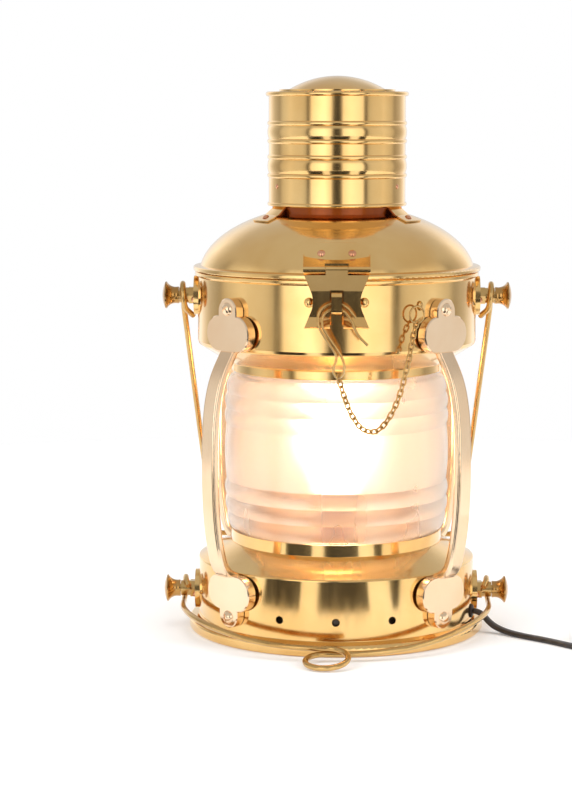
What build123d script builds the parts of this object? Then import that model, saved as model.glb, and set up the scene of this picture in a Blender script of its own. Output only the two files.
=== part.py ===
from build123d import *
import os
from math import asin, cos, degrees, pi, radians, sin, sqrt, tan

os.makedirs("parts", exist_ok=True)

# An electric brass anchor lantern. Millimetres, +Z up, -Y is the front, and the origin is
# the middle of the base's underside. Azimuth 0 is the front, and 90 is the right side, +X.

# Driving dimensions of the body
SHEET = 1.2            # brass sheet of the base, band, dome and chimney
BASE_R = 99.0          # base drum and upper band
FOOT_R = 106.0         # rolled foot of the base
BASE_TOP = 52.0        # where the drum turns into its sloping top
RING_R = 75.5          # rings that hold the glass
LOWER_RING_Z = 63.8
UPPER_RING_TOP = 192.6
GLASS_R = 80.0         # widest radius of the lens
GLASS_BOTTOM = 66.2
GLASS_TOP = 189.9
BAND_LOW = 207.0
BAND_TOP = 257.0
CHIMNEY_R = 48.4
CHIMNEY_LOW = 303.0
CHIMNEY_TOP = 382.9
NECK_R = 45.9          # tube inside the chimney's foot
TOTAL_HEIGHT = 394.0

# The dome is half an ellipse turned about the lantern's axis
DOME_A = 98.0
DOME_B = 50.0
DOME_Z = 254.0
BRIM_R = 102.0
BRIM_LOW = 257.4

# Guards
GUARD_AZIMUTHS = (-45, 45, 135, -135)
GUARD_NAMES = ("front_left", "front_right", "rear_right", "rear_left")
GUARD_LINE = [         # radius and height along the bar's centre line
    (102.0, 49.6), (106.6, 51.6), (111.2, 55.4), (115.8, 66.3), (119.2, 84.0), (121.4, 112.0),
    (121.4, 145.0), (117.8, 176.6), (112.2, 192.0), (105.2, 203.6), (101.8, 209.6),
]
GUARD_BAR = (12.8, 6.6)   # width and thickness of the bar
PAD_FACE = 105.8       # distance of a pad's flat face from the lantern's axis
PAD_THICK = 6.7
PAD_LOBE_R = 12.5
PAD_LOBE_OFFSET = 8.5
PAD_TAB_R = 9.0
PAD_TAB_RISE = 17.0    # from the lobes' centre to the screw
UPPER_PAD_Z = 218.3
LOWER_PAD_Z = 38.2

# Bails and their pivots
WIRE_R = 2.0
EYE_R = 8.1            # centre line of the eye round the stud
STUD_R = 5.5
THREAD_R = 3.0
PIVOT_X = 110.0        # middle of the eye
UPPER_PIVOT_Z = 239.0
LOWER_PIVOT_Z = 26.0
BAIL_ARM = 217.0       # pivot to crossbar
BAIL_HALF = 94.0       # half the crossbar
BAIL_CORNER = 9.0
BAIL_LOOP_R = 13.0     # centre line of the turn in the upper crossbar
LOWER_LOOP_R = 14.4    # centre line of the turn in the lower bail
LOWER_BAIL_R = 110.0   # the lower bail is half a circle with short straight arms
LOWER_BAIL_REACH = 8.0
LOWER_LOOP_X = -6.0
LOWER_BAIL_TIP = 9.1   # degrees that it slopes down to the floor in front

# Hasp, staple and keeper pin at the front
HASP_HALF = 22.5
HASP_AXIS = (-101.5, 264.0)   # y and z of the hasp's hinge
KNUCKLE_R = 2.5
KNUCKLE_HALF = 7.4
PIN_Y = -116.4
PIN_WIRE_R = 0.9

# Rear hinge of the lid
HINGE_AXIS = (106.4, 258.2)
HINGE_R = 3.0
HINGE_HALF = 22.0

# Supply cord
CORD_R = 2.5
CORD_AZIMUTH = 77.0
CORD_Z = 15.0
COIL_CENTRE = (213.0, -58.0)
COIL_MEAN_R = 36.0
COIL_HALF_WIDTH = 9.75  # three turns side by side
COIL_HEIGHT = 10.4     # three flat turns on each other

CLEAR = 0.05           # running clearance on a radius


def save(name, *solids):
    """Writes one named sub-part. Loose pieces of one kind stay separate solids."""
    shape = solids[0] if len(solids) == 1 else Compound(children=list(solids))
    export_step(shape, f"parts/{name}.step")


def face_from(points, rounds=()):
    """A flat XY face through the points, with the numbered corners rounded."""
    face = Face(Wire.make_polygon([(a, b, 0) for a, b in points], close=True))
    for number, radius in rounds:
        corner = min(face.vertices(), key=lambda v: (Vector(*v) - Vector(*points[number], 0)).length)
        face = face.fillet_2d(radius, [corner])
    return Sketch() + face


def crown(radius, base, height):
    """The arc of a dome centred on the axis, from its rim in to its top."""
    bend = (radius**2 + height**2) / (2 * height)
    spread = degrees(asin(radius / bend))
    return CenterArc((0, base + height - bend), bend, 90 - spread, spread)


def turned(sketch):
    """Turns an outline drawn as (radius, height) about the lantern's axis."""
    return revolve(Plane.XZ * sketch, Axis.Z).solid()


def upright(sketch, low, high):
    """A prism along X of an outline drawn as (y, z)."""
    return extrude(Plane.YZ.offset(low) * sketch, high - low, dir=(1, 0, 0)).solid()


def lengthwise(sketch, low, high):
    """A prism along Y of an outline drawn as (x, z)."""
    return extrude(Plane.XZ.offset(-low) * sketch, high - low, dir=(0, 1, 0)).solid()


def polar(radius, azimuth, z=0.0):
    return Vector(radius * sin(radians(azimuth)), -radius * cos(radians(azimuth)), z)


def facing(radius, azimuth, z=0.0):
    """A plane at that place whose normal points out from the lantern's axis and whose Y is up."""
    out = polar(1, azimuth)
    return Plane(origin=polar(radius, azimuth, z), x_dir=(cos(radians(azimuth)), sin(radians(azimuth)), 0), z_dir=out)


def soft_path(points, share=0.45):
    """Straight runs joined by tangent arcs as large as the shorter run beside each corner allows."""
    corners = [Vector(*p) for p in points]
    radii = []
    for before, here, after in zip(corners, corners[1:], corners[2:]):
        turn = (here - before).get_angle(after - here)
        shorter = min((here - before).length, (after - here).length)
        radii.append(share * shorter / tan(radians(turn / 2)))
    return FilletPolyline(*corners, radius=radii), radii


def wire_along(path, radius):
    """A round wire along a path."""
    start = Plane(origin=path @ 0, z_dir=path % 0)
    return sweep(start * Circle(radius), path=path).solid()


def head(radius, height, shank_r, shank):
    """A round head that stands on the plane it is placed on, with its shank behind."""
    dome = make_face(Line((0, 0), (radius, 0)) + crown(radius, 0, height) + Line((0, height), (0, 0)))
    return (turned(dome) + Pos(0, 0, -shank / 2) * Cylinder(shank_r, shank)).solid()


def dome_normal(radius):
    """Height of the dome at a radius, and the tilt of its surface from level."""
    z = DOME_Z + DOME_B * sqrt(1 - (radius / DOME_A) ** 2)
    slope = (radius / DOME_A**2) / ((z - DOME_Z) / DOME_B**2)
    return z, slope


def dome_plane(radius, azimuth, lift):
    """A plane on the dome, raised by lift along its normal."""
    z, slope = dome_normal(radius)
    out = polar(slope, azimuth) + Vector(0, 0, 1)
    out = out.normalized()
    return Plane(origin=polar(radius, azimuth, z) + out * lift, z_dir=out)


def rivets(planes, radius, height, shank_r, shank):
    piece = head(radius, height, shank_r, shank)
    return [plane * piece for plane in planes]


def holes(planes, radius, depth):
    """Cutters for the shanks that pass through a wall."""
    return [plane * Pos(0, 0, -depth / 2) * Cylinder(radius + CLEAR, depth + 4) for plane in planes]


def cut(shape, cutters):
    for cutter in cutters:
        shape = shape - cutter
    return shape.solid()


# ---------------------------------------------------------------- places that several pieces share
def guard_screw_planes():
    planes = []
    for azimuth in GUARD_AZIMUTHS:
        planes.append(facing(PAD_FACE, azimuth, UPPER_PAD_Z + PAD_TAB_RISE))
        planes.append(facing(PAD_FACE, azimuth, LOWER_PAD_Z - PAD_TAB_RISE))
    return planes


PIVOTS = [(side, z) for z in (UPPER_PIVOT_Z, LOWER_PIVOT_Z) for side in (-1, 1)]
PIVOT_PLATE_FACE = 101.6
STUD_START = 97.0


def pivot_plane(side, x, dy=0.0, z=0.0):
    return Plane(origin=(side * x, dy, z), x_dir=(0, side, 0), z_dir=(side, 0, 0))


def pivot_rivet_planes():
    places = []
    for side, z in PIVOTS:
        places.append(pivot_plane(side, PIVOT_PLATE_FACE, -9.6, z - 2.4))
        places.append(pivot_plane(side, PIVOT_PLATE_FACE, 9.6, z + 2.4))
    return places


HASP_PLATE_FACE = 100.4
hasp_plate_rivet_planes = [facing(HASP_PLATE_FACE, azimuth, 242.0) for azimuth in (-10.6, 10.6)]
hasp_leaf_rivet_planes = [dome_plane(90.0, azimuth, 1.3) for azimuth in (-6.6, 6.6)]
tab_azimuths = (-60, 60, 180)
tab_rivet_planes = [dome_plane(57.0, azimuth, 1.32) for azimuth in tab_azimuths]
chimney_rivet_planes = [facing(CHIMNEY_R, azimuth, 317.0) for azimuth in tab_azimuths]
hinge_band_rivet_planes = [facing(HASP_PLATE_FACE, 180 + azimuth, 243.0) for azimuth in (-8, 8)]
hinge_lid_rivet_planes = [dome_plane(86.5, 180 + azimuth, 1.3) for azimuth in (-8, 8)]


# ---------------------------------------------------------------- base
def base_pan():
    outline = face_from(
        [
            (97.8, 0), (FOOT_R, 0), (FOOT_R, 8), (BASE_R, 9.5), (BASE_R, BASE_TOP), (76, LOWER_RING_Z),
            (8.3, LOWER_RING_Z), (8.3, LOWER_RING_Z - SHEET), (75.7, LOWER_RING_Z - SHEET), (97.8, 51.2),
        ],
        [(1, 2.2), (2, 3.2), (3, 0.5), (4, 1.6)],
    )
    vents = [facing(BASE_R, azimuth, 23.0) * Cylinder(2.75, 8) for azimuth in (-23, 0, 23, 157, 180, 203)]
    shell = cut(turned(outline), vents + holes(guard_screw_planes()[1::2], 2.0, 12))
    shell = cut(shell, holes(pivot_rivet_planes()[4:], 1.5, 8))
    studs = [pivot_plane(side, STUD_START, 0, z) * Cylinder(THREAD_R + CLEAR, 20) for side, z in PIVOTS[2:]]
    return cut(shell, studs + [facing(BASE_R, CORD_AZIMUTH, CORD_Z) * Cylinder(4.5 + CLEAR, 12)])


def base_bottom_plate():
    return Pos(0, 0, 0.75) * Cylinder(97.5, 1.5).solid()


# ---------------------------------------------------------------- glass and its rings
def lower_glass_ring():
    """An angle ring: a floor under the glass and a wall round it."""
    block = Pos(67.75, LOWER_RING_Z + 4.1) * Rectangle(15.5, 8.2)
    room = Pos(64.1, LOWER_RING_Z + SHEET + 5) * Rectangle(20, 10)
    return turned(block - room)


def upper_glass_ring():
    top = UPPER_RING_TOP
    return turned(face_from([(62, top), (75, top), (75, 186.4), (73.9, 186.4), (73.9, 191.2), (62, 191.2)], [(2, 0.4)]))


def lens_gaskets():
    low = Pos(0, 0, 65.6) * (Cylinder(73.9, 1.2) - Cylinder(66.5, 1.2))
    high = Pos(0, 0, 190.55) * (Cylinder(73.7, 1.3) - Cylinder(66.5, 1.3))
    return low.solid(), high.solid()


def lens_edge(z):
    """Radius of the lens's grooves at a height: a barrel that draws in towards the rings."""
    reach = abs(z - (GLASS_BOTTOM + GLASS_TOP) / 2)
    return GLASS_R - 1.2 - 5.2 * (max(0.0, reach - 33) / 28.9) ** 2


def glass_lens():
    """A drum lens: a smooth middle belt between three rounded prism rings above and below it."""
    middle = (GLASS_BOTTOM + GLASS_TOP) / 2
    belt, prism = 20.0, 11.4
    heights = [middle + side * (belt + prism * n) for side in (-1, 1) for n in (3, 2, 1, 0)]
    heights = sorted(heights)
    low_end, high_end = (73.4, GLASS_BOTTOM), (73.4, GLASS_TOP)
    corners = [(lens_edge(z), z) for z in heights]
    line = Line(low_end, (73.4, GLASS_BOTTOM + 6)) + Line((73.4, GLASS_BOTTOM + 6), corners[0])
    for a, b in zip(corners, corners[1:]):
        crown = ((a[0] + b[0]) / 2 + 1.3, (a[1] + b[1]) / 2)
        line += ThreePointArc(a, crown, b)
    line += Line(corners[-1], (73.4, GLASS_TOP - 6)) + Line((73.4, GLASS_TOP - 6), high_end)
    line += Line(high_end, (68.6, GLASS_TOP))
    line += ThreePointArc((68.6, GLASS_TOP), (73.8, middle), (68.6, GLASS_BOTTOM))
    line += Line((68.6, GLASS_BOTTOM), low_end)
    return turned(make_face(line))


# ---------------------------------------------------------------- upper band
def upper_band():
    neck = UPPER_RING_TOP
    outline = face_from(
        [
            (66, neck), (77.5, neck), (98.2, 205.6), (BASE_R, BAND_LOW + 1), (BASE_R, 253), (101, 254.2),
            (101, BAND_TOP), (97.6, BAND_TOP), (97.6, 208.4), (97.0, 206.7), (77.0, neck + SHEET), (66, neck + SHEET),
        ],
        [(2, 2.0), (5, 1.0), (6, 1.2)],
    )
    shell = cut(turned(outline), holes(guard_screw_planes()[0::2], 2.0, 12))
    shell = cut(shell, holes(pivot_rivet_planes()[:4] + hasp_plate_rivet_planes + hinge_band_rivet_planes, 1.5, 8))
    studs = [pivot_plane(side, STUD_START, 0, z) * Cylinder(THREAD_R + CLEAR, 20) for side, z in PIVOTS[:2]]
    return cut(shell, studs)


# ---------------------------------------------------------------- guards
def pad(direction):
    """The club-shaped foot of a guard, drawn with its lobes at the origin. direction 1 has its tab above."""
    lobes = [Pos(side * PAD_LOBE_OFFSET, 0) * Circle(PAD_LOBE_R) for side in (-1, 1)]
    middle = Rectangle(2 * PAD_LOBE_OFFSET, 2 * PAD_LOBE_R)
    rise = direction * (PAD_TAB_RISE - 1.5)
    tab = Pos(0, rise / 2) * Rectangle(2 * PAD_TAB_R, abs(rise)) + Pos(0, rise) * Circle(PAD_TAB_R)
    return lobes[0] + lobes[1] + middle + tab


def guard(azimuth):
    """One bowed bar with its two flat feet, cast in one piece."""
    radial = Plane(origin=(0, 0, 0), x_dir=(1, 0, 0), z_dir=(0, -1, 0))
    bow = radial * Spline(*GUARD_LINE)
    start = Plane(origin=bow @ 0, x_dir=(0, 1, 0), z_dir=bow % 0)
    whole = sweep(start * RectangleRounded(*GUARD_BAR, 2.2), path=bow)
    for direction, z in ((1, UPPER_PAD_Z), (-1, LOWER_PAD_Z)):
        slab = Pos(PAD_FACE + 10, 0, z) * Box(20, 60, 2 * PAD_LOBE_R - 0.6)
        front = Plane(origin=(PAD_FACE, 0, z), x_dir=(0, 1, 0), z_dir=(1, 0, 0))
        plate = extrude(front * pad(direction), -PAD_THICK)
        rim = plate.edges().filter_by_position(Axis.X, PAD_FACE - 0.01, PAD_FACE + 0.01)
        plate = chamfer(rim, 0.7)
        screw = Plane(origin=(PAD_FACE, 0, z + direction * PAD_TAB_RISE), z_dir=(1, 0, 0))
        whole = whole - slab + (plate - screw * Cylinder(2.0 + CLEAR, 40))
    whole = whole - Cylinder(BASE_R + 0.06, 2 * TOTAL_HEIGHT)
    return (Rot(0, 0, azimuth - 90) * whole).solid()


def guard_screws():
    """Round-headed screws whose slots point different ways."""
    plain = head(4.6, 3.2, 2.0, 10.5)
    screws = []
    for number, plane in enumerate(guard_screw_planes()):
        slot = Rot(0, 0, 40 + 57 * number) * Pos(0, 0, 3.2) * Box(10, 1.0, 2.4)
        screws.append(plane * (plain - slot).solid())
    return screws


# ---------------------------------------------------------------- pivots
def pivot_plates():
    """Round plates whose backs follow the drum and whose faces are flat."""
    plates = []
    drum = Cylinder(BASE_R + 0.02, 2 * TOTAL_HEIGHT)
    rivet_holes = holes(pivot_rivet_planes(), 1.5, 8)
    for number, (side, z) in enumerate(PIVOTS):
        disc = pivot_plane(side, PIVOT_PLATE_FACE - 3, 0, z) * Cylinder(14, 6)
        disc = disc - drum - pivot_plane(side, STUD_START, 0, z) * Cylinder(THREAD_R + CLEAR, 20)
        plates.append(cut(disc, rivet_holes[2 * number: 2 * number + 2]))
    return plates


def pivot_studs():
    """A hexagonal collar, the shoulder that the eye turns on, and the thread for the knob."""
    collar = extrude(RegularPolygon(6.6, 6), 3.9)
    shoulder = Pos(0, 0, 3.9 + 3.35) * Cylinder(STUD_R, 6.7)
    thread = Pos(0, 0, (-4.6 + 17.6) / 2) * Cylinder(THREAD_R, 17.6 + 4.6)
    stud = (collar + shoulder + thread).solid()
    return [pivot_plane(side, PIVOT_PLATE_FACE, 0, z) * stud for side, z in PIVOTS]


def knob(side, z):
    """A trumpet-shaped thumb nut with a blind hole for the stud."""
    line = Line((THREAD_R + CLEAR, 0), (6.0, 0)) + Line((6.0, 0), (6.0, 1.2))
    line += ThreePointArc((6.0, 1.2), (6.3, 4.8), (9.6, 8.6)) + Line((9.6, 8.6), (9.6, 9.6))
    line += crown(9.6, 9.6, 2.2)
    line += Line((0, 11.8), (0, 7.0)) + Line((0, 7.0), (THREAD_R + CLEAR, 7.0)) + Line((THREAD_R + CLEAR, 7.0), (THREAD_R + CLEAR, 0))
    nut = revolve(Plane.XZ * make_face(line), Axis.Z).solid()
    return pivot_plane(side, PIVOT_X + 2.6, 0, z) * nut


# ---------------------------------------------------------------- bails
EYE_BENDS = [12, EYE_R - 0.1, EYE_R - 0.1]


def eye_points(side, up, tail):
    """The wire round a stud, from its cut end to where the arm leaves: (x, along the arm, across the arm)."""
    corner = EYE_R + 0.05
    end = (side * (PIVOT_X - 2 - 5 * tail), 6 + 10.2 * tail, up * (6.6 * tail - EYE_R))
    turn = [(PIVOT_X - 2, 6, -up * EYE_R), (PIVOT_X - 0.6, -corner, -up * EYE_R), (PIVOT_X, -corner, up * EYE_R)]
    return [end] + [(side * x, along, across) for x, along, across in turn]


def bent_wire(half, bends, other_half, other_bends):
    """One wire bent through both lists of corners, the second read backwards."""
    path = FilletPolyline(*half, *reversed(other_half), radius=bends + list(reversed(other_bends)))
    return wire_along(path, WIRE_R)


def upper_bail():
    """Drawn flat with its arms along +Y, then swung down behind the lantern."""
    turn, lift = BAIL_LOOP_R, 1.6
    arm = [(PIVOT_X, 16, EYE_R), (BAIL_HALF, BAIL_ARM, 0)]
    loop = [(-turn, BAIL_ARM, 0), (-turn, BAIL_ARM + 2 * turn, lift), (turn, BAIL_ARM + 2 * turn, 2 * lift), (turn, BAIL_ARM, 3 * lift)]
    right = eye_points(1, 1, 1.0) + arm + loop
    left = eye_points(-1, 1, 1.0) + [(-x, y, z) for x, y, z in arm]
    bends = EYE_BENDS + [40, BAIL_CORNER]
    flat = bent_wire(right, bends + 4 * [turn - 0.2], left, bends)
    return Pos(0, 0, UPPER_PIVOT_Z) * Rot(UPPER_BAIL_TILT, 0, 0) * flat


def lower_bail():
    """Drawn flat with its arms along +Y, turned to the front and tipped down until its loop meets the floor."""
    front = LOWER_BAIL_REACH + LOWER_BAIL_R
    chord = LOWER_BAIL_R * tan(radians(22.5))
    turn, lift = LOWER_LOOP_R, 0.7
    near, far = LOWER_LOOP_X - turn, LOWER_LOOP_X + turn
    arm = [(PIVOT_X, 6, -EYE_R), (PIVOT_X, LOWER_BAIL_REACH + chord, 0), (chord, front, -3 * lift)]
    loop = [(far, front, 3 * lift), (far, front + 2 * turn, lift), (near, front + 2 * turn, -lift), (near, front, -3 * lift)]
    left = eye_points(-1, -1, 0.4) + [(-x, y, abs(z) if y == front else z) for x, y, z in arm] + loop
    right = eye_points(1, -1, 0.4) + arm
    bends = EYE_BENDS + [30, LOWER_BAIL_R - 4.0]
    flat = bent_wire(left, bends + [92.0] + 4 * [turn - 0.2], right, bends + [LOWER_BAIL_R - 4.0])
    return Pos(0, 0, LOWER_PIVOT_Z) * Rot(LOWER_BAIL_TIP, 0, 0) * mirror(flat, Plane.XZ)


UPPER_BAIL_REST_Y = BASE_R + WIRE_R + 0.6     # the crossbar hangs against the back of the drum
UPPER_BAIL_TILT = -degrees(pi / 2 - asin(UPPER_BAIL_REST_Y / BAIL_ARM))


# ---------------------------------------------------------------- hasp
def hasp_plate():
    """The plate riveted to the band behind the flap."""
    outline = face_from([(-22, 228), (22, 228), (22, 252), (-22, 252)], [(0, 5), (1, 5), (2, 5), (3, 5)])
    prism = lengthwise(outline, -120, -80)
    shell = Pos(0, 0, 240) * (Cylinder(HASP_PLATE_FACE, 60) - Cylinder(BASE_R, 60))
    plate = prism & shell
    return cut(plate, holes(hasp_plate_rivet_planes, 1.5, 4))


def hasp_staple():
    """A strap bent to a square loop that stands out through the flap's slot."""
    outer = face_from([(-99.5, 235.6), (-120, 235.6), (-120, 250), (-99.5, 250)], [(1, 3.5), (2, 3.5)])
    inner = face_from([(-99, 237.4), (-118.2, 237.4), (-118.2, 248.2), (-99, 248.2)], [(1, 1.8), (2, 1.8)])
    return (upright(outer, -3.5, 3.5) - upright(inner, -4, 4) - Pos(0, 0, 240) * Cylinder(HASP_PLATE_FACE, 60)).solids()


def knuckles(axis, radius, spans, bore):
    """Rolled hinge knuckles along X."""
    rolled = []
    for low, high in spans:
        place = Pos((low + high) / 2, axis[0], axis[1]) * Rot(0, 90, 0)
        rolled.append(place * (Cylinder(radius, high - low) - Cylinder(bore, high - low)))
    return rolled


def dome_skin(low, high):
    """A shell that lies on the dome, between two lifts above it."""
    ring = Pos(0, DOME_Z) * (Ellipse(DOME_A + high, DOME_B + high) - Ellipse(DOME_A + low, DOME_B + low))
    return turned(ring & (Pos(70, DOME_Z + 35) * Rectangle(80, 60)))


def dome_leaf(axis, radius, half, top, corner, spans, front):
    """A hinge leaf that follows the dome, with its rolled knuckles."""
    outline = face_from([(-half, 262), (half, 262), (half, top), (-half, top)], [(2, corner), (3, corner)])
    side = -1 if front else 1
    prism = lengthwise(outline, *sorted((side * 60, side * 110)))
    leaf = dome_skin(0.06, SHEET + 0.06) & prism
    y, z = axis
    wedge = face_from([(side * 88, 273.5), (y, z + radius), (y, z + 0.6), (side * 92, 264.4)])
    bridge = upright(wedge, -half, half) - turned(Pos(0, DOME_Z) * (Ellipse(DOME_A + 0.06, DOME_B + 0.06) & (Pos(60, 0) * Rectangle(120, 200))))
    gaps = [(a[1], b[0]) for a, b in zip(spans, spans[1:])]
    for low, high in gaps:
        room = face_from([(y - side * (radius + 0.8), z - 6), (y + side * 6, z - 6), (y + side * 6, z + 6), (y - side * (radius + 0.8), z + 6)])
        bridge = bridge - upright(room, low - 0.3, high + 0.3)
    leaf = leaf + bridge
    for knuckle in knuckles(axis, radius, spans, 0.1):
        leaf = leaf + knuckle
    return leaf - Pos(0, y, z) * Rot(0, 90, 0) * Cylinder(PIN_BORE, 4 * half)


PIN_BORE = 1.0
PIN_RADIUS = 0.95


def hasp_leaf():
    spans = [(-HASP_HALF, -KNUCKLE_HALF - 0.3), (KNUCKLE_HALF + 0.3, HASP_HALF)]
    leaf = dome_leaf(HASP_AXIS, KNUCKLE_R, HASP_HALF, 281.4, 12.0, spans, True)
    return cut(leaf, holes(hasp_leaf_rivet_planes, 1.5, 4))


def hasp_flap():
    """The hanging flap: sheet bent along its height, waisted, slotted for the staple and rolled at the lip."""
    y, z = HASP_AXIS
    side = face_from(
        [
            (-104.0, z), (-108.4, 250), (-108.4, 233), (-112.5, 226.5),
            (-111.4, 225.7), (-107.0, 232.6), (-107.0, 250.2), (-102.6, z),
        ],
        [(1, 4), (6, 2.6), (2, 3), (5, 1.6)],
    )
    sheet = upright(side, -HASP_HALF, HASP_HALF)
    edge = Line((22.3, z + 1), (22.3, 262)) + Line((22.3, 262), (17.2, 250))
    edge += ThreePointArc((17.2, 250), (15.9, 243), (17.4, 236)) + Line((17.4, 236), (21.6, 226.2)) + Line((21.6, 226.2), (21.6, 225))
    mirrored = mirror(edge, Plane.YZ)
    outline = make_face(edge + Line((21.6, 225), (-21.6, 225)) + mirrored + Line((-22.3, z + 1), (22.3, z + 1)))
    slot = Pos(0, 237.5) * Rectangle(9, 27) + Pos(0, 246.5) * Rectangle(9, 9)
    prism = lengthwise(outline - slot, -120, -95)
    flap = sheet & prism
    room = face_from([(y - 4, z - 3.2), (y + 4, z - 3.2), (y + 4, z + 4), (y - 4, z + 4)])
    for low, high in ((-HASP_HALF - 1, -KNUCKLE_HALF), (KNUCKLE_HALF, HASP_HALF + 1)):
        flap = flap - upright(room, low, high)
    flap = flap + knuckles(HASP_AXIS, KNUCKLE_R, [(-KNUCKLE_HALF, KNUCKLE_HALF)], 0.1)[0]
    return (flap - Pos(0, y, z) * Rot(0, 90, 0) * Cylinder(PIN_BORE, 60)).solid()


def hinge_rod(axis, half):
    return (Pos(0, axis[0], axis[1]) * Rot(0, 90, 0) * Cylinder(PIN_RADIUS, 2 * half)).solid()


def keeper_pin():
    """A split pin bent from one wire: two strands arch through the staple and close in an eye below."""
    inner = [(20.6, 215.0), (13.6, 222.0), (9.6, 232.5), (4.4, 239.0), (-4.4, 239.3), (-9.6, 234.9), (-9.8, 227.3), (3.9, 206.9)]
    loop = [(5.8, 198.6), (1.4, 191.6), (-3.0, 198.0), (1.0, 207.3)]
    outer = [(-12.1, 226.7), (-12.4, 237.0), (-5.8, 242.6), (5.6, 242.4), (12.6, 233.4)]
    path, radii = soft_path([(x, PIN_Y, z) for x, z in inner + loop + outer])
    return wire_along(path, PIN_WIRE_R)


# ---------------------------------------------------------------- keeper chain
CHAIN_LINK_LENGTH = 4.7
CHAIN_LINK_WIDTH = 3.5
CHAIN_WIRE_R = 0.62
CHAIN_POINTS = [
    (0.9, -116.9, 194.6), (4.6, -113.8, 181.6), (9.0, -111.6, 169.6), (15.6, -108.6, 158.4), (24.2, -105.6, 154.6),
    (31.0, -103.6, 158.2), (37.6, -102.2, 167.6), (43.0, -100.6, 180.6), (46.6, -98.4, 194.8), (49.6, -95.6, 208.0),
    (51.6, -92.4, 219.6), (54.2, -88.2, 228.3),
]
RING_CENTRE = (54.2, -88.2, 233.0)
RING_WIRE_R = 0.7
RING_R = 5.8
EYELET_AZIMUTH = 34.6


def keeper_chain():
    """Round links of one size, each turned across its neighbours, along the chain's hanging line."""
    path, radii = soft_path(CHAIN_POINTS)
    loop = SlotCenterToCenter(CHAIN_LINK_LENGTH - CHAIN_LINK_WIDTH, CHAIN_LINK_WIDTH + 2 * CHAIN_WIRE_R).wire()
    start = Plane(origin=loop @ 0, z_dir=loop % 0)
    link = sweep(start * Circle(CHAIN_WIRE_R), path=loop).solid()
    count = int(path.length / (CHAIN_LINK_LENGTH - 0.12))
    links = []
    for number in range(count):
        at = (number + 0.5) / count
        along = path % at
        across = Vector(0.42, -0.9, 0)
        across = (across - along * across.dot(along)).normalized()
        place = Plane(origin=path @ at, x_dir=along, z_dir=across)
        links.append(place * Rot(45 if number % 2 else -45, 0, 0) * link)
    return links


def chain_ring():
    out = polar(1, 32)
    return (Plane(origin=RING_CENTRE, z_dir=out) * Torus(RING_R, RING_WIRE_R)).solid()


def chain_eyelet():
    """A small half loop of wire on the band that holds the ring."""
    place = facing(BASE_R, EYELET_AZIMUTH, 238.6)
    ring = place * Rot(0, 90, 0) * Torus(2.6, 0.8)
    return (ring - Cylinder(BASE_R + 0.05, 2 * TOTAL_HEIGHT)).solid()


# ---------------------------------------------------------------- lid
def lid_dome():
    shell = Pos(0, DOME_Z) * (Ellipse(DOME_A, DOME_B) - Ellipse(DOME_A - SHEET, DOME_B - SHEET))
    shell = shell & (Pos(46 + 30, 258.4 + 25) * Rectangle(60, 50))
    brim = face_from(
        [(95.4, BRIM_LOW), (BRIM_R, BRIM_LOW), (BRIM_R, 260.4), (97.6, 261.4), (95.4, 261.4)], [(1, 0.8), (2, 1.1)]
    )
    spigot = face_from([(95.6, 252.6), (96.9, 252.6), (96.9, 258), (95.6, 258)])
    dome = turned(shell + brim + spigot)
    rivet_planes = hasp_leaf_rivet_planes + hinge_lid_rivet_planes + tab_rivet_planes
    return cut(dome, holes(rivet_planes, 1.5, 6))


def lid_neck():
    return (Pos(0, 0, 301) * (Cylinder(NECK_R, 22) - Cylinder(NECK_R - 1.0, 22))).solid()


def chimney():
    r = CHIMNEY_R
    line = Line((r - SHEET, CHIMNEY_LOW), (r + 0.4, CHIMNEY_LOW))
    line += ThreePointArc((r + 0.4, CHIMNEY_LOW), (r + 1.0, CHIMNEY_LOW + 1.2), (r, CHIMNEY_LOW + 2.6))
    z = CHIMNEY_LOW + 2.6
    beads = (324.3, 337.3, 348.3, 360.9)
    half = 1.7
    for number, bead in enumerate(beads):
        low, high = bead - half, bead + half
        if number in (1, 3):
            line += ThreePointArc((r, z), (r + 0.9, (z + low) / 2), (r, low))
        else:
            line += Line((r, z), (r, low))
        line += ThreePointArc((r, low), (r + 1.0, bead), (r, high))
        z = high
    line += Line((r, z), (r, CHIMNEY_TOP - 3.2))
    line += ThreePointArc((r, CHIMNEY_TOP - 3.2), (r + 2.1, CHIMNEY_TOP - 1.5), (r + 0.9, CHIMNEY_TOP))
    line += Line((r + 0.9, CHIMNEY_TOP), (r - SHEET, CHIMNEY_TOP)) + Line((r - SHEET, CHIMNEY_TOP), (r - SHEET, CHIMNEY_LOW))
    return cut(turned(make_face(line)), holes(chimney_rivet_planes, 1.0, 4))


def chimney_cap():
    """A shallow domed disc with a flat brim, which stands over the chimney's mouth."""
    low, top = CHIMNEY_TOP + 0.3, TOTAL_HEIGHT
    rim = 34.2
    solid_dome = make_face(
        Line((0, top), (0, low)) + Line((0, low), (41, low)) + Line((41, low), (41, low + SHEET))
        + Line((41, low + SHEET), (rim, low + SHEET)) + crown(rim, low + SHEET, top - low - SHEET)
    )
    hollow = make_face(Line((0, low), (rim - 0.6, low)) + crown(rim - 0.6, low, top - SHEET - low) + Line((0, top - SHEET), (0, low)))
    return (turned(solid_dome) - turned(hollow)).solid()


def cap_brackets():
    """Three bent strips that hold the cap above the chimney's mouth."""
    side = face_from([(45.8, 366), (47.1, 366), (47.1, 383.2), (36.5, 383.2), (36.5, 382.1), (45.8, 382.1)], [(2, 1.2)])
    strip = revolve(Plane.XZ * side, Axis.Z, revolution_arc=9)
    return [Rot(0, 0, turn) * strip.solid() for turn in (25, 145, 265)]


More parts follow.
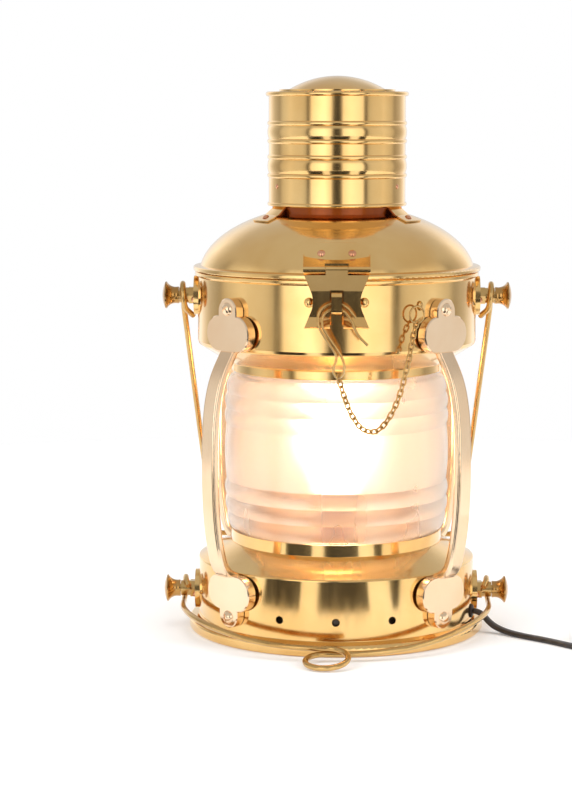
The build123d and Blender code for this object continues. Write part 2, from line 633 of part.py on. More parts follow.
def chimney_tabs():
    """Strips riveted inside the chimney's foot and bent out on to the dome."""
    side = face_from(
        [
            (46.0, 324), (47.1, 324), (47.1, 302.9), (53.5, 297.35), (62.7, 293.7),
            (62.4, 292.75), (53.0, 296.45), (46.0, 302.3),
        ]
    )
    strip = revolve(Plane.XZ * side, Axis.Z, revolution_arc=20)
    tabs = []
    for azimuth, dome_rivet, wall_rivet in zip(tab_azimuths, tab_rivet_planes, chimney_rivet_planes):
        tab = Rot(0, 0, azimuth - 100) * strip
        tabs.append(cut(tab, holes([dome_rivet], 1.5, 6) + holes([wall_rivet], 1.0, 4)))
    return tabs


def hinge_lid_leaf():
    leaf = dome_leaf(HINGE_AXIS, HINGE_R, HINGE_HALF, 281.4, 8.0, [(-HINGE_HALF, -7.7), (7.7, HINGE_HALF)], False)
    return cut(leaf, holes(hinge_lid_rivet_planes, 1.5, 4))


def hinge_band_leaf():
    """The half of the rear hinge on the band, with the middle knuckle."""
    y, z = HINGE_AXIS
    outline = face_from([(-HINGE_HALF, 232), (HINGE_HALF, 232), (HINGE_HALF, 252), (-HINGE_HALF, 252)], [(0, 6), (1, 6)])
    prism = lengthwise(outline, 80, 120)
    leaf = prism & (Pos(0, 0, 240) * (Cylinder(HASP_PLATE_FACE, 60) - Cylinder(BASE_R, 60)))
    bridge = face_from([(99.3, 251), (100.6, 251), (y + HINGE_R, z), (y + 1.2, z), (102.0, 252.4), (99.3, 252.4)])
    leaf = leaf + (upright(bridge, -7.4, 7.4) - Cylinder(BASE_R, 600))
    leaf = leaf + knuckles(HINGE_AXIS, HINGE_R, [(-7.4, 7.4)], 0.1)[0]
    leaf = leaf - Pos(0, y, z) * Rot(0, 90, 0) * Cylinder(PIN_BORE, 60)
    return cut(leaf, holes(hinge_band_rivet_planes, 1.5, 4))


# ---------------------------------------------------------------- lamp inside
def socket_stem():
    return (Pos(0, 0, 61) * (Cylinder(5.0, 22) - Cylinder(3.4, 22)) + Pos(0, 0, 64.6) * (Cylinder(11, 1.6) - Cylinder(4, 1.6))).solid()


def lamp_holder():
    """A turned lamp holder: a cup on the stem that takes the bulb's cap."""
    line = Polyline(
        (5.05, 66), (12, 66), (14.5, 70), (19, 74), (19, 98), (20.5, 98), (20.5, 100.5), (15.2, 100.5), (15.2, 78), (5.05, 78), (5.05, 66)
    )
    return turned(make_face(line))


def bulb_cap():
    return turned(face_from([(0, 79), (5, 79), (13.6, 83), (13.6, 101), (0, 101)]))


def bulb_glass():
    """A pear-shaped envelope."""
    globe = CenterArc((0, 136), 27, -20, 110)
    line = Line((0, 101), (13.4, 101)) + Line((13.4, 101), (14.4, 108))
    line += ThreePointArc((14.4, 108), (20.6, 118.4), globe @ 0) + globe + Line((0, 163), (0, 101))
    return turned(make_face(line))


# ---------------------------------------------------------------- supply cord
def cord_grommet():
    back = -SHEET - 0.4
    nose = face_from([(0, -4), (5.4, -4), (5.4, back), (4.5, back), (4.5, 0.1), (5.0, 0.1), (5.0, 0.9), (3.8, 1.6), (0, 1.6)])
    return facing(BASE_R, CORD_AZIMUTH, CORD_Z) * turned(nose)


CORD_EXIT = polar(BASE_R + 1.6, CORD_AZIMUTH, CORD_Z)
CORD_POINTS = [
    CORD_EXIT, polar(106.0, CORD_AZIMUTH, CORD_Z), (110.4, -26.4, 6.2), (118.5, -31.4, 3.2), (130.0, -42.6, 2.7),
    (146.0, -55.4, 2.6), (162.0, -72.6, 2.6), (180.0, -89.5, 2.6), (196.0, -99.2, 2.6), (207.0, -100.4, 2.6),
]


def supply_cord():
    path, radii = soft_path(CORD_POINTS)
    print("cord radii", [round(r, 1) for r in radii])
    tube = wire_along(path, CORD_R)
    print("cord length", round(path.length, 1), "volume ratio", round(tube.volume / (pi * CORD_R**2 * path.length), 4))
    return tube


def inner_lead():
    """The lead inside the base, from the grommet to the stem."""
    start = polar(BASE_R - 4, CORD_AZIMUTH, CORD_Z)
    path, radii = soft_path([start, polar(70, CORD_AZIMUTH, CORD_Z), polar(30, CORD_AZIMUTH, 24), polar(2, CORD_AZIMUTH, 32), (0, 0, 50)])
    return wire_along(path, CORD_R)


def supply_cord_coil():
    inner, outer = COIL_MEAN_R - COIL_HALF_WIDTH, COIL_MEAN_R + COIL_HALF_WIDTH
    ring = Cylinder(outer, COIL_HEIGHT) - Cylinder(inner, COIL_HEIGHT)
    return (Pos(*COIL_CENTRE, COIL_HEIGHT / 2) * ring).solid()


PLUG_PLANE = Plane(origin=(COIL_CENTRE[0] + COIL_MEAN_R, COIL_CENTRE[1] - 2, COIL_HEIGHT), x_dir=(0, 1, 0), z_dir=(0, 0, 1))


def plug_body():
    outline = face_from([(-16, -7), (-6, -10), (14, -11), (14, 11), (-6, 10), (-16, 7)], [(1, 4), (2, 2), (3, 2), (4, 4)])
    body = extrude(outline, 11, dir=(0, 0, 1))
    return (PLUG_PLANE * body).solid()


def plug_blades():
    return [(PLUG_PLANE * Pos(14 + 8, side * 6.35, 5.5) * Box(16, 1.5, 6.4)).solid() for side in (-1, 1)]


# ---------------------------------------------------------------- write every node
def write_all():
    save("base_pan", base_pan())
    save("base_bottom_plate", base_bottom_plate())
    save("lower_glass_ring", lower_glass_ring())
    save("upper_glass_ring", upper_glass_ring())
    save("lens_gaskets", *lens_gaskets())
    save("glass_lens", glass_lens())
    save("upper_band", upper_band())
    for name, azimuth in zip(GUARD_NAMES, GUARD_AZIMUTHS):
        save(f"guard_{name}", guard(azimuth))
    save("guard_screws", *guard_screws())
    save("pivot_plates", *pivot_plates())
    save("pivot_rivets", *rivets(pivot_rivet_planes(), 2.4, 1.6, 1.5, 5))
    save("pivot_studs", *pivot_studs())
    for side, z in PIVOTS:
        level = "upper" if z == UPPER_PIVOT_Z else "lower"
        save(f"knob_{level}_{'left' if side < 0 else 'right'}", knob(side, z))
    save("upper_bail", upper_bail())
    save("lower_bail", lower_bail())
    save("hasp_plate", hasp_plate())
    save("hasp_staple", *hasp_staple())
    save("hasp_plate_rivets", *rivets(hasp_plate_rivet_planes, 3.4, 2.0, 1.5, 4))
    save("hasp_leaf", *hasp_leaf().solids())
    save("hasp_leaf_rivets", *rivets(hasp_leaf_rivet_planes, 2.7, 1.6, 1.5, 3.4))
    save("hasp_rod", hinge_rod(HASP_AXIS, HASP_HALF))
    save("hasp_flap", hasp_flap())
    save("keeper_pin", keeper_pin())
    save("keeper_chain", *keeper_chain())
    save("chain_ring", chain_ring())
    save("chain_eyelet", chain_eyelet())
    save("lid_dome", lid_dome())
    save("lid_neck", lid_neck())
    save("chimney", chimney())
    save("chimney_cap", chimney_cap())
    save("cap_brackets", *cap_brackets())
    save("chimney_tabs", *chimney_tabs())
    save("chimney_rivets", *rivets(chimney_rivet_planes, 1.7, 0.9, 1.0, 2.5))
    save("tab_rivets", *rivets(tab_rivet_planes, 2.5, 1.4, 1.5, 3.4))
    save("hinge_lid_leaf", *hinge_lid_leaf().solids())
    save("hinge_lid_rivets", *rivets(hinge_lid_rivet_planes, 2.7, 1.6, 1.5, 3.4))
    save("hinge_band_leaf", hinge_band_leaf())
    save("hinge_band_rivets", *rivets(hinge_band_rivet_planes, 2.7, 1.6, 1.5, 4))
    save("hinge_rod", hinge_rod(HINGE_AXIS, HINGE_HALF))
    save("socket_stem", socket_stem())
    save("lamp_holder", lamp_holder())
    save("bulb_cap", bulb_cap())
    save("bulb_glass", bulb_glass())
    save("cord_grommet", cord_grommet())
    save("inner_lead", inner_lead())
    save("supply_cord", supply_cord())
    save("supply_cord_coil", supply_cord_coil())
    save("plug_body", plug_body())
    save("plug_blades", *plug_blades())


write_all()
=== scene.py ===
import math

import bmesh
import bpy
from mathutils import Matrix, Vector


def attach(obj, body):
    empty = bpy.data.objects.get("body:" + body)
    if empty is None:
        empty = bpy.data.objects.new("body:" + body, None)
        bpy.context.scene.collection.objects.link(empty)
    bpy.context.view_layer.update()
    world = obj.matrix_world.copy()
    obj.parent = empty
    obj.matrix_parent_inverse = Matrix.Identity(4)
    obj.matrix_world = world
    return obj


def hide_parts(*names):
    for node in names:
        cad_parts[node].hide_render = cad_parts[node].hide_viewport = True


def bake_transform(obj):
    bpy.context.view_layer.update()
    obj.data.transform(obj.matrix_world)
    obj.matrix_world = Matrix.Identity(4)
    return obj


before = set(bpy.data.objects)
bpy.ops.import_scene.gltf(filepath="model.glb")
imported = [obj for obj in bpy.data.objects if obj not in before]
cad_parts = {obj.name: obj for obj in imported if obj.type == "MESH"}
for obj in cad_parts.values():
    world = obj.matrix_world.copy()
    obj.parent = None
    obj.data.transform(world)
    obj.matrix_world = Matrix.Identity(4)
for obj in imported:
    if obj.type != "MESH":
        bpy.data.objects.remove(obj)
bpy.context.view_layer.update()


# ---------------------------------------------------------------- shader parts
def material(name):
    made = bpy.data.materials.new(name)
    made.use_nodes = True
    return made, made.node_tree.nodes, made.node_tree.links, made.node_tree.nodes["Principled BSDF"]


def noise(nodes, links, scale, detail, stretch=(1, 1, 1)):
    """The value of a noise texture laid over the object; a small stretch draws it out along that axis."""
    place = nodes.new("ShaderNodeTexCoord")
    mapping = nodes.new("ShaderNodeMapping")
    mapping.inputs["Scale"].default_value = stretch
    texture = nodes.new("ShaderNodeTexNoise")
    texture.inputs["Scale"].default_value = scale
    texture.inputs["Detail"].default_value = detail
    links.new(place.outputs["Object"], mapping.inputs["Vector"])
    links.new(mapping.outputs[0], texture.inputs["Vector"])
    return texture.outputs["Fac"]


def ramp(nodes, links, value, stops):
    """The colour that a value stands for, between stops of (value, colour)."""
    made = nodes.new("ShaderNodeValToRGB")
    first, last = made.color_ramp.elements
    first.position, last.position = stops[0][0], stops[-1][0]
    first.color, last.color = (*stops[0][1], 1), (*stops[-1][1], 1)
    for at, colour in stops[1:-1]:
        made.color_ramp.elements.new(at).color = (*colour, 1)
    links.new(value, made.inputs[0])
    return made.outputs["Color"]


def spread_between(nodes, links, value, low, high):
    """Maps a value of 0 to 1 onto low to high."""
    made = nodes.new("ShaderNodeMapRange")
    made.inputs["To Min"].default_value = low
    made.inputs["To Max"].default_value = high
    links.new(value, made.inputs["Value"])
    return made.outputs[0]


def bump_of(nodes, links, height, strength, distance):
    made = nodes.new("ShaderNodeBump")
    made.inputs["Strength"].default_value = strength
    made.inputs["Distance"].default_value = distance
    links.new(height, made.inputs["Height"])
    return made


# ---------------------------------------------------------------- camera and light
CAMERA_LENS = 102.6
CAMERA_PLACE = (0.0, -1.623, 0.3705)
CAMERA_DIP = 0.1268
CAMERA_ROLL = math.radians(1.277)
AIM = (0, 0, 0.2)

# Brightness of the studio's walls by azimuth in degrees, 0 in front. Two lit panels stand either side of a
# dark gap, and the walls beside and behind them are alike left and right.
FRONT_WALLS = [(-22, 0.95), (-10, 0.62), (-6.5, 0.05), (0, 0.03), (6.5, 0.05), (10, 0.62), (22, 0.8)]
SIDE_WALLS = [
    (44, 0.62), (47, 0.1), (51, 0.08), (53, 0.3), (60, 0.38), (78, 0.42),
    (84, 0.46), (104, 0.34), (112, 0.2), (128, 0.3), (152, 0.62), (180, 0.34),
]
WALLS = [(-angle, level) for angle, level in reversed(SIDE_WALLS)] + FRONT_WALLS + SIDE_WALLS
WALL_STRENGTH = 2.0
WALL_TOP = 0.3
CEILING_EDGE = 0.62
CEILING = 0.29


def make_camera():
    data = bpy.data.cameras.new("camera")
    data.sensor_width = 36.0
    data.lens = CAMERA_LENS
    data.clip_start = 0.05
    data.clip_end = 50.0
    camera = bpy.data.objects.new("camera", data)
    camera.location = CAMERA_PLACE
    camera.rotation_euler = (math.pi / 2 - CAMERA_DIP, 0.0, CAMERA_ROLL)
    bpy.context.scene.collection.objects.link(camera)
    bpy.context.scene.camera = camera


def area_light(name, place, size, power):
    """A soft light aimed at the lantern that the metal doesn't mirror."""
    data = bpy.data.lights.new(name, "AREA")
    data.shape = "RECTANGLE"
    data.size, data.size_y = size
    data.energy = power
    light = bpy.data.objects.new(name, data)
    light.location = place
    light.rotation_euler = (Vector(AIM) - Vector(place)).to_track_quat("-Z", "Y").to_euler()
    light.visible_glossy = False
    bpy.context.scene.collection.objects.link(light)


def wall_azimuth(nodes, links, parts):
    """The direction's azimuth as 0 to 1: 0 and 1 behind the lantern, a half in front of it."""
    flip = nodes.new("ShaderNodeMath")
    flip.operation = "MULTIPLY"
    flip.inputs[1].default_value = -1.0
    links.new(parts.outputs["Y"], flip.inputs[0])
    turn = nodes.new("ShaderNodeMath")
    turn.operation = "ARCTAN2"
    links.new(parts.outputs["X"], turn.inputs[0])
    links.new(flip.outputs[0], turn.inputs[1])
    spread = nodes.new("ShaderNodeMapRange")
    spread.inputs["From Min"].default_value = -math.pi
    spread.inputs["From Max"].default_value = math.pi
    links.new(turn.outputs[0], spread.inputs["Value"])
    return spread.outputs[0]


def background(nodes, strength):
    made = nodes.new("ShaderNodeBackground")
    made.inputs["Color"].default_value = (1, 1, 1, 1)
    made.inputs["Strength"].default_value = strength
    return made


def make_world():
    """A tent with lit panels and a dim ceiling for the metal to mirror, and white where the camera looks past."""
    world = bpy.data.worlds.new("studio")
    bpy.context.scene.world = world
    world.use_nodes = True
    nodes, links = world.node_tree.nodes, world.node_tree.links
    nodes.clear()
    place = nodes.new("ShaderNodeTexCoord")
    parts = nodes.new("ShaderNodeSeparateXYZ")
    links.new(place.outputs["Generated"], parts.inputs[0])
    stops = [((angle + 180) / 360, (level, level, level)) for angle, level in WALLS]
    walls = ramp(nodes, links, wall_azimuth(nodes, links, parts), stops)
    height = nodes.new("ShaderNodeMapRange")
    height.interpolation_type = "SMOOTHSTEP"
    height.inputs["From Min"].default_value = WALL_TOP
    height.inputs["From Max"].default_value = CEILING_EDGE
    links.new(parts.outputs["Z"], height.inputs["Value"])
    over = nodes.new("ShaderNodeMix")
    over.data_type = "RGBA"
    over.inputs["B"].default_value = (CEILING, CEILING, CEILING, 1)
    links.new(height.outputs[0], over.inputs["Factor"])
    links.new(walls, over.inputs["A"])
    reflected = background(nodes, WALL_STRENGTH)
    links.new(over.outputs["Result"], reflected.inputs["Color"])
    seen = background(nodes, 1.0)
    ray = nodes.new("ShaderNodeLightPath")
    either = nodes.new("ShaderNodeMixShader")
    links.new(ray.outputs["Is Camera Ray"], either.inputs[0])
    links.new(reflected.outputs[0], either.inputs[1])
    links.new(seen.outputs[0], either.inputs[2])
    out = nodes.new("ShaderNodeOutputWorld")
    links.new(either.outputs[0], out.inputs["Surface"])


# ---------------------------------------------------------------- floor and the cards that the metal mirrors
FLOOR_RADIUS = 0.95
FLOOR_SIDES = 96
CARD_INNER = 0.232
CARD_OUTER = 0.9
CARD_LIFT = 0.0006
CARD_STEPS = 8
# Azimuths in degrees between which each dark card lies on the floor, 0 in front.
DARK_CARDS = {"card_0": (-51, -24), "card_39": (-12, 22), "card_89": (38, 51)}
SIDE_CARD_X = 0.158
SIDE_CARD_Y = (-0.17, 0.03)
SIDE_CARD_Z = (0.001, 0.075)


def stage_mesh(name, points, faces, colour, glow):
    mesh = bpy.data.meshes.new(name)
    mesh.from_pydata(points, [], faces)
    made = bpy.data.objects.new(name, mesh)
    bpy.context.scene.collection.objects.link(made)
    paint, _, _, shader = material(name + "_paint")
    shader.inputs["Base Color"].default_value = (colour, colour, colour, 1)
    shader.inputs["Roughness"].default_value = 0.7
    shader.inputs["Specular IOR Level"].default_value = 0.2
    shader.inputs["Emission Color"].default_value = (1, 1, 1, 1)
    shader.inputs["Emission Strength"].default_value = glow
    mesh.materials.append(paint)
    return made


def mirrored_only(card):
    """Keeps a card out of sight and out of the light, so that it only shows in the metal."""
    card.visible_camera = False
    card.visible_diffuse = False
    card.visible_transmission = False
    card.visible_shadow = False


def make_floor():
    """A pale round table top."""
    angles = [2 * math.pi * k / FLOOR_SIDES for k in range(FLOOR_SIDES)]
    rim = [(FLOOR_RADIUS * math.cos(a), FLOOR_RADIUS * math.sin(a), 0) for a in angles]
    stage_mesh("floor", rim, [tuple(range(FLOOR_SIDES))], 0.88, 0.16)


def make_cards():
    """Dark cards on the floor in front, and a pale one that stands between the lantern and the coil of cord."""
    for name, (low, high) in DARK_CARDS.items():
        angles = [math.radians(low + (high - low) * k / CARD_STEPS) for k in range(CARD_STEPS + 1)]
        rims = (CARD_INNER, CARD_OUTER)
        points = [(r * math.sin(a), -r * math.cos(a), CARD_LIFT) for r in rims for a in angles]
        faces = [(k, k + 1, k + CARD_STEPS + 2, k + CARD_STEPS + 1) for k in range(CARD_STEPS)]
        mirrored_only(stage_mesh(name, points, faces, 0.02, 0.0))
    near, far = SIDE_CARD_Y
    low, high = SIDE_CARD_Z
    side = [(SIDE_CARD_X, y, z) for y, z in ((near, low), (far, low), (far, high), (near, high))]
    mirrored_only(stage_mesh("side_card", side, [(0, 1, 2, 3)], 0.5, 0.62))


bpy.context.scene.view_settings.view_transform = "Standard"
make_camera()
make_world()
make_floor()
make_cards()
area_light("key_left", (-1.5, -0.9, 1.5), (0.9, 1.6), 18)
area_light("key_right", (1.6, -0.7, 1.3), (0.7, 1.5), 14)
area_light("top", (0.0, 0.2, 2.2), (1.6, 1.6), 16)


# ---------------------------------------------------------------- supply cord, the route of part.py in metres
CORD_WIDTH = 0.0065
CORD_THICK = 0.0033
FLOOR_Z = CORD_THICK / 2 + 0.0001
EXIT_AZIMUTH = math.radians(77.0)
CORD_EXIT = (0.1006 * math.sin(EXIT_AZIMUTH), -0.1006 * math.cos(EXIT_AZIMUTH), 0.015)
BUSH_MOUTH = (0.106 * math.sin(EXIT_AZIMUTH), -0.106 * math.cos(EXIT_AZIMUTH), 0.0148)
FLOOR_ROUTE = [
    (0.1104, -0.0264, 0.0062), (0.1185, -0.0314, 0.0026), (0.130, -0.0426, FLOOR_Z), (0.146, -0.0554, FLOOR_Z),
    (0.162, -0.0726, FLOOR_Z), (0.180, -0.0895, FLOOR_Z), (0.196, -0.0992, FLOOR_Z), (0.207, -0.1012, FLOOR_Z),
]
PLUG_ROUTE = [
    (0.214, -0.0955, 0.0092), (0.2295, -0.0918, 0.0102), (0.2425, -0.0862, 0.0132), (0.2490, -0.0800, 0.0155),
    (0.2490, -0.0745, 0.0158),
]
COIL_CENTRE = (0.213, -0.058)
# Mean radius and layer of each turn of the coil, and those that its last turn leads to.
COIL_TURNS = [
    (0.0425, 0), (0.036, 0), (0.0295, 0), (0.0295, 1), (0.036, 1), (0.0425, 1), (0.0425, 2), (0.037, 2),
]
POINTS_PER_TURN = 14
LAYER_STEP = 0.0034
SHIFT_FROM = 0.62
CURVE_INSIDE = 0.975
SECTION_STEPS = 8
SECTION_HALF_ANGLE = 80
CURVE_STEPS = 8


def coil_points():
    """Three flat layers, wound in, out and in again; each turn shifts to the next over its last part."""
    points = []
    for turn, ((radius, layer), (next_radius, next_layer)) in enumerate(zip(COIL_TURNS, COIL_TURNS[1:])):
        for number in range(0 if turn else 1, POINTS_PER_TURN):
            late = max(0.0, (number - POINTS_PER_TURN * SHIFT_FROM) / (POINTS_PER_TURN * (1 - SHIFT_FROM)))
            late = late * late * (3 - 2 * late)
            r = (radius + (next_radius - radius) * late) / CURVE_INSIDE
            z = FLOOR_Z + LAYER_STEP * (layer + (next_layer - layer) * late)
            angle = -math.pi / 2 + 2 * math.pi * number / POINTS_PER_TURN
            points.append((COIL_CENTRE[0] + r * math.cos(angle), COIL_CENTRE[1] + r * math.sin(angle), z))
    return points


def line_of(points, name):
    """A smooth curve whose control points are the route."""
    data = bpy.data.curves.new(name, "CURVE")
    data.dimensions = "3D"
    data.resolution_u = CURVE_STEPS
    spline = data.splines.new("NURBS")
    spline.points.add(len(points) - 1)
    for point, place in zip(spline.points, points):
        point.co = (*place, 1)
    spline.order_u = 3
    spline.use_endpoint_u = True
    line = bpy.data.objects.new(name, data)
    bpy.context.scene.collection.objects.link(line)
    return line


def points_along(points):
    """The places that a smooth curve through the route passes, read from the curve itself."""
    line = line_of(points, "reading")
    bpy.context.view_layer.update()
    mesh = bpy.data.meshes.new_from_object(line)
    places = [v.co.copy() for v in mesh.vertices]
    bpy.data.objects.remove(line)
    bpy.data.meshes.remove(mesh)
    return places


def linked_object(bm, name):
    """Turns a finished bmesh into a smooth object in the scene."""
    mesh = bpy.data.meshes.new(name)
    bmesh.ops.recalc_face_normals(bm, faces=bm.faces)
    bm.to_mesh(mesh)
    bm.free()
    for face in mesh.polygons:
        face.use_smooth = True
    made = bpy.data.objects.new(name, mesh)
    bpy.context.scene.collection.objects.link(made)
    return made


def cord_section():
    """Points around a flat twin cord: two insulated cores side by side."""
    core = CORD_THICK / 2
    offset = CORD_WIDTH / 2 - core
    section = []
    for side in (1, -1):
        for number in range(SECTION_STEPS + 1):
            angle = math.radians(SECTION_HALF_ANGLE * (2 * number / SECTION_STEPS - 1))
            section.append((side * (offset + core * math.cos(angle)), side * core * math.sin(angle)))
    return section


def twin_cord(name, places):
    """The cord's section carried along the places, level wherever it lies flat."""
    bm = bmesh.new()
    section = cord_section()
    rings = []
    for number, here in enumerate(places):
        before = places[max(0, number - 1)]
        after = places[min(len(places) - 1, number + 1)]
        along = (after - before).normalized()
        across = along.cross(Vector((0, 0, 1))).normalized()
        up = across.cross(along).normalized()
        rings.append([bm.verts.new(here + across * a + up * b) for a, b in section])
    count = len(section)
    for one, two in zip(rings, rings[1:]):
        for k in range(count):
            bm.faces.new((one[k], one[(k + 1) % count], two[(k + 1) % count], two[k]))
    bm.faces.new(list(reversed(rings[0])))
    bm.faces.new(rings[-1])
    return linked_object(bm, name)


cord_places = points_along([CORD_EXIT, BUSH_MOUTH] + FLOOR_ROUTE + coil_points() + PLUG_ROUTE)
cord = twin_cord("twin_cord", cord_places)
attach(cord, "lantern")
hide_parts("supply_cord", "supply_cord_coil")


# ---------------------------------------------------------------- keeper chain, its line in millimetres
CHAIN_ROUTE = [
    (0.9, -116.9, 194.6), (4.6, -113.8, 181.6), (9.0, -111.6, 169.6), (15.6, -108.6, 158.4), (24.2, -105.6, 154.6),
    (31.0, -103.6, 158.2), (37.6, -102.2, 167.6), (43.0, -100.6, 180.6), (46.6, -98.4, 194.8), (49.6, -95.6, 208.0),
    (51.6, -92.4, 219.6), (54.2, -88.2, 228.3),
]
LINK_WIRE_R = 0.00062
LINK_TURN_R = 0.0016
LINK_HALF = 0.00105
LINK_PITCH = 0.0041
LINK_TWIST = 36
LINK_STEPS = 20
WIRE_SIDES = 8
CHAIN_FRONT = (0.25, -0.97, 0)


def link_points(place):
    """Rings of points of one link: a wire bent to a round-ended loop."""
    rings = []
    for number in range(LINK_STEPS):
        angle = 2 * math.pi * number / LINK_STEPS
        out = Vector((math.cos(angle), math.sin(angle), 0))
        middle = LINK_TURN_R * out + Vector((math.copysign(LINK_HALF, math.cos(angle)), 0, 0))
        ring = []
        for k in range(WIRE_SIDES):
            turn = 2 * math.pi * k / WIRE_SIDES
            around = math.cos(turn) * out + math.sin(turn) * Vector((0, 0, 1))
            ring.append(place @ (middle + LINK_WIRE_R * around))
        rings.append(ring)
    return rings


def add_link(bm, middle, along, twist):
    """One link at a place on the line, lengthwise along it and turned about it by the twist."""
    front = Vector(CHAIN_FRONT)
    front = (front - along * front.dot(along)).normalized()
    normal = Matrix.Rotation(math.radians(twist), 3, along) @ front
    side = normal.cross(along)
    place = Matrix.Translation(middle) @ Matrix((along, side, normal)).transposed().to_4x4()
    rings = [[bm.verts.new(p) for p in ring] for ring in link_points(place)]
    for one, two in zip(rings, rings[1:] + rings[:1]):
        for i in range(WIRE_SIDES):
            j = (i + 1) % WIRE_SIDES
            bm.faces.new((one[i], two[i], two[j], one[j]))


def make_chain():
    """A curb chain whose links lie along a smooth hanging line, every link half turned to its neighbour."""
    line = points_along([tuple(v / 1000 for v in point) for point in CHAIN_ROUTE])
    lengths = [0.0]
    for a, b in zip(line, line[1:]):
        lengths.append(lengths[-1] + (b - a).length)
    count = round(lengths[-1] / LINK_PITCH)
    bm = bmesh.new()
    for number in range(count):
        along_line = (number + 0.5) * lengths[-1] / count
        k = max(i for i, length in enumerate(lengths[:-1]) if length <= along_line)
        share = (along_line - lengths[k]) / (lengths[k + 1] - lengths[k])
        middle = line[k].lerp(line[k + 1], share)
        along = (line[k + 1] - line[k]).normalized()
        add_link(bm, middle, along, LINK_TWIST if number % 2 else -LINK_TWIST)
    return linked_object(bm, "chain_links")


chain = make_chain()
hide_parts("keeper_chain")
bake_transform(chain)


# ---------------------------------------------------------------- materials
# Textures with these stretches run in upright streaks.
WIPED = (1, 1, 0.12)
MOULDED = (1, 1, 0.06)


def polished(name, pale, deep, smooth=0.07, worn=0.2, wobble=0.03):
    """Polished, lacquered metal: slow colour change, faint wipe marks, and a sheet never quite flat."""
    made, nodes, links, shader = material(name)
    tone = noise(nodes, links, 22.0, 4.0)
    links.new(ramp(nodes, links, tone, [(0.3, deep), (0.68, pale)]), shader.inputs["Base Color"])
    marks = noise(nodes, links, 260.0, 5.0, WIPED)
    links.new(spread_between(nodes, links, marks, smooth, worn), shader.inputs["Roughness"])
    shader.inputs["Metallic"].default_value = 1.0
    shader.inputs["Coat Weight"].default_value = 0.35
    shader.inputs["Coat Roughness"].default_value = 0.05
    sheet = bump_of(nodes, links, noise(nodes, links, 14.0, 2.0), wobble, 0.01)
    fine = bump_of(nodes, links, marks, 0.02, 0.0002)
    links.new(sheet.outputs[0], fine.inputs["Normal"])
    links.new(fine.outputs[0], shader.inputs["Normal"])
    return made


def dark_rubber(name, colour, rough):
    """Dark moulded rubber or plastic with a fine grain."""
    made, nodes, links, shader = material(name)
    tone = noise(nodes, links, 180.0, 4.0)
    lighter = tuple(c * 1.7 + 0.008 for c in colour)
    links.new(ramp(nodes, links, tone, [(0.3, colour), (0.75, lighter)]), shader.inputs["Base Color"])
    links.new(spread_between(nodes, links, tone, rough - 0.08, rough + 0.12), shader.inputs["Roughness"])
    grain = bump_of(nodes, links, noise(nodes, links, 900.0, 2.0), 0.12, 0.0002)
    links.new(grain.outputs[0], shader.inputs["Normal"])
    return made


def lens_glass():
    """Moulded glass, lightly frosted and faintly pink, that blurs the bulb to a glow."""
    made, nodes, links, shader = material("lens_glass_moulded")
    tone = noise(nodes, links, 38.0, 1.0, MOULDED)
    tints = [(0.3, (0.98, 0.80, 0.66)), (0.7, (1.0, 0.91, 0.82))]
    links.new(ramp(nodes, links, tone, tints), shader.inputs["Base Color"])
    shader.inputs["Transmission Weight"].default_value = 0.82
    shader.inputs["IOR"].default_value = 1.46
    links.new(spread_between(nodes, links, tone, 0.2, 0.34), shader.inputs["Roughness"])
    waves = bump_of(nodes, links, tone, 0.03, 0.002)
    links.new(waves.outputs[0], shader.inputs["Normal"])
    return made


def lit_bulb():
    """The lit bulb: a frosted envelope that glows warm white, a little uneven."""
    made, nodes, links, shader = material("bulb_lit")
    tone = noise(nodes, links, 60.0, 2.0)
    envelope = [(0.3, (1.0, 0.9, 0.72)), (0.7, (1.0, 0.96, 0.86))]
    light = [(0.3, (1.0, 0.82, 0.58)), (0.7, (1.0, 0.88, 0.68))]
    links.new(ramp(nodes, links, tone, envelope), shader.inputs["Base Color"])
    links.new(ramp(nodes, links, tone, light), shader.inputs["Emission Color"])
    shader.inputs["Emission Strength"].default_value = 19.0
    links.new(spread_between(nodes, links, tone, 0.3, 0.5), shader.inputs["Roughness"])
    return made


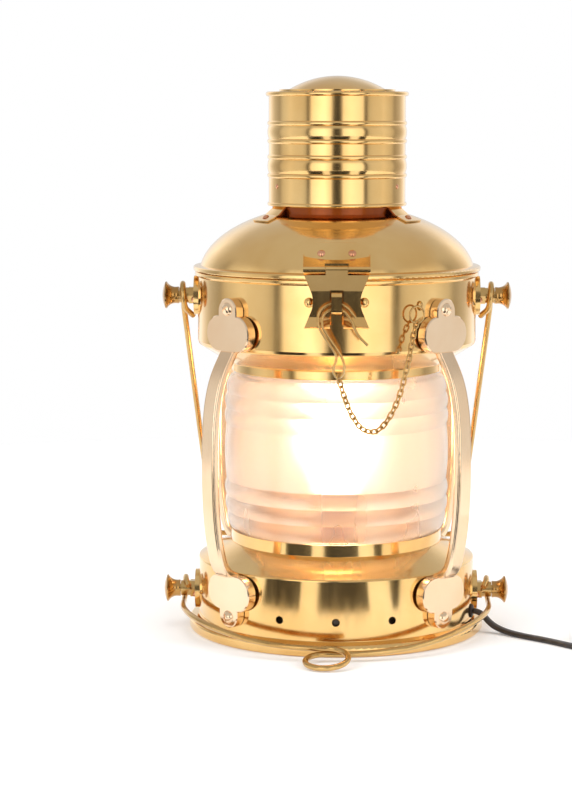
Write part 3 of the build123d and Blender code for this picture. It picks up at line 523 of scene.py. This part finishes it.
BRASS = polished("brass_polished", (0.94, 0.63, 0.26), (0.85, 0.51, 0.17))
CAST = polished("brass_cast", (0.96, 0.73, 0.50), (0.91, 0.64, 0.40), smooth=0.1, worn=0.24, wobble=0.02)
WIRE = polished("brass_wire", (0.72, 0.47, 0.18), (0.55, 0.32, 0.10), smooth=0.14, worn=0.3)
BRONZE = polished("bronze_knob", (0.60, 0.33, 0.10), (0.44, 0.22, 0.05), smooth=0.12, worn=0.28)
COPPER = polished("copper_rivet", (0.85, 0.42, 0.24), (0.70, 0.30, 0.15), smooth=0.14, worn=0.3)
INSIDE = polished("brass_inside", (0.80, 0.56, 0.28), (0.66, 0.42, 0.17), smooth=0.3, worn=0.5)
# The lid neck sits in the dark gap under the chimney, and its near-black red colour is painted shade of that gap.
SHADED_NECK = polished("neck_painted_shade", (0.36, 0.08, 0.012), (0.22, 0.04, 0.006), smooth=0.3, worn=0.5)
CORD_SKIN = dark_rubber("cord_skin", (0.018, 0.011, 0.008), 0.42)
PLUG_SKIN = dark_rubber("plug_skin", (0.02, 0.014, 0.011), 0.5)
GASKET = dark_rubber("gasket_rubber", (0.025, 0.022, 0.02), 0.6)

# Every node is polished brass unless its name, or how its name begins, is listed here.
SKIN_OF_KIND = {"guard": CAST, "knob": BRONZE}
SKINS = {
    WIRE: (
        "upper_bail", "lower_bail", "keeper_pin", "keeper_chain", "chain_ring", "chain_eyelet", "pivot_studs",
    ),
    COPPER: (
        "pivot_rivets", "chimney_rivets", "tab_rivets",
        "hasp_leaf_rivets", "hinge_lid_rivets", "hinge_band_rivets",
    ),
    INSIDE: ("socket_stem", "lamp_holder", "bulb_cap", "base_bottom_plate", "cap_brackets"),
    SHADED_NECK: ("lid_neck",),
    CORD_SKIN: ("cord_grommet", "inner_lead", "supply_cord", "supply_cord_coil"),
    PLUG_SKIN: ("plug_body",),
    GASKET: ("lens_gaskets",),
    lens_glass(): ("glass_lens",),
    lit_bulb(): ("bulb_glass",),
}
SKIN_OF = {name: skin for skin, names in SKINS.items() for name in names}

for name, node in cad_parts.items():
    kind = name.split("_")[0]
    node.data.materials.clear()
    node.data.materials.append(SKIN_OF.get(name, SKIN_OF_KIND.get(kind, BRASS)))
cord.data.materials.append(CORD_SKIN)
chain.data.materials.append(WIRE)
